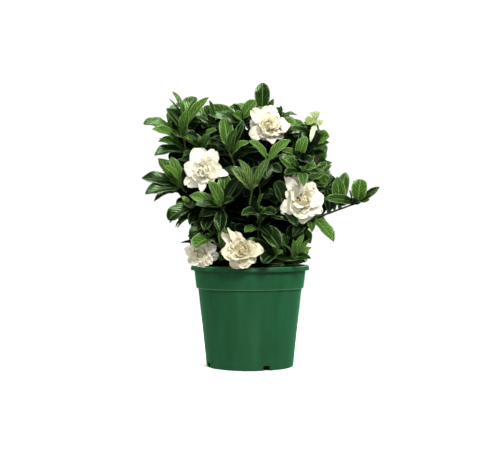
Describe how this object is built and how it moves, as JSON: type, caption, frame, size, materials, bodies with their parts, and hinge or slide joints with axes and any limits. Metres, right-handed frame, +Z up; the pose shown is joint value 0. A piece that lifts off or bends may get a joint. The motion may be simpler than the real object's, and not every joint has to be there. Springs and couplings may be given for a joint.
{
  "type": "potted gardenia",
  "caption": "Bushy gardenia with whorls of glossy pointed leaves and cream double flowers, rooted in soil in a round tapered green plastic nursery pot with a stepped collar and rolled rim.",
  "frame": {"origin": "centre of the pot's underside, on the ground", "axes": "+Z up along the pot's axis, -Y towards the side with the open flowers, +X to the right of that side"},
  "size_m": [0.3216, 0.2443, 0.3895],
  "materials": {
    "pot": "satin",
    "soil": "matte",
    "bark": "matte",
    "leaf": "gloss",
    "young_leaf": "satin",
    "petal": "satin",
    "calyx": "satin"
  },
  "bodies": {
    "root": {"pot": "pot", "soil": "soil", "woody_stem_1": "bark", "woody_stem_2": "bark", "woody_stem_3": "bark", "woody_stem_4": "bark", "woody_stem_5": "bark", "bloom_1": "petal", "bloom_2": "petal", "bloom_3": "petal", "bloom_4": "petal", "bloom_5": "petal", "calyx_1": "calyx", "calyx_2": "calyx", "calyx_3": "calyx", "calyx_4": "calyx", "calyx_5": "calyx", "shoot_top_left": "leaf", "shoot_left_high": "leaf", "shoot_left_inner": "leaf", "shoot_left_mid": "leaf", "shoot_left_low": "leaf", "shoot_low_left": "leaf", "shoot_rim_left": "leaf", "shoot_centre_left": "leaf", "shoot_new_growth": "young_leaf", "shoot_centre_inner": "leaf", "shoot_centre_high": "leaf", "shoot_top_centre": "leaf", "shoot_top_mid_left": "leaf", "shoot_crest": "leaf", "shoot_top_right": "leaf", "shoot_right_high": "leaf", "shoot_pale_tip": "young_leaf", "shoot_right_centre": "leaf", "shoot_centre": "leaf", "shoot_right_mid": "leaf", "shoot_over_right_bloom": "leaf", "shoot_right_far": "leaf", "shoot_right_bloom_side": "leaf", "shoot_low_right": "leaf", "shoot_centre_right": "leaf", "shoot_centre_low": "leaf", "shoot_rim_right": "leaf", "shoot_rim_middle": "leaf", "shoot_between_blooms": "leaf", "shoot_far_01": "leaf", "shoot_far_02": "leaf", "shoot_far_03": "leaf", "shoot_far_04": "leaf", "shoot_far_05": "leaf", "shoot_far_06": "leaf", "shoot_far_07": "leaf", "shoot_far_08": "leaf", "shoot_far_09": "leaf", "shoot_far_10": "leaf", "shoot_far_11": "leaf", "shoot_far_12": "leaf", "shoot_far_13": "leaf"}
  },
  "joints": []
}
